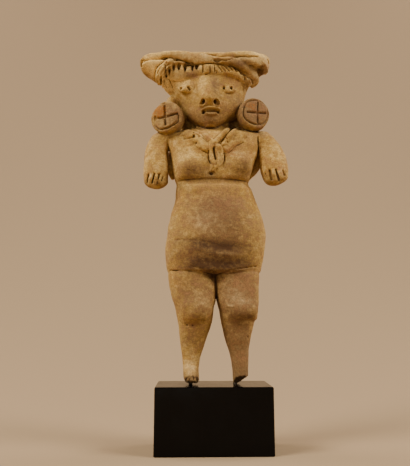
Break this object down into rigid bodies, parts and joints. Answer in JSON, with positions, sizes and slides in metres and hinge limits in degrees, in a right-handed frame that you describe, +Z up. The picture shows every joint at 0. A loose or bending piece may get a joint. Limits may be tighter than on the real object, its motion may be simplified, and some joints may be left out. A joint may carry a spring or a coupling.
{
  "type": "michoacan figurine",
  "caption": "Standing clay female figurine with turban, ear spools and arm stubs, held by steel pins over a black block.",
  "frame": {"origin": "centre of the block's underside, on the surface that it stands on", "axes": "+Z up, the figure faces -Y, +X to the right of a viewer who faces it"},
  "size_m": [0.0631, 0.0306, 0.1648],
  "materials": {
    "fired_clay": "matte",
    "pin_steel": "satin",
    "black_acrylic": "gloss"
  },
  "bodies": {
    "root": {"figurine": "fired_clay", "pin_left": "pin_steel", "pin_right": "pin_steel", "block": "black_acrylic"}
  },
  "joints": []
}
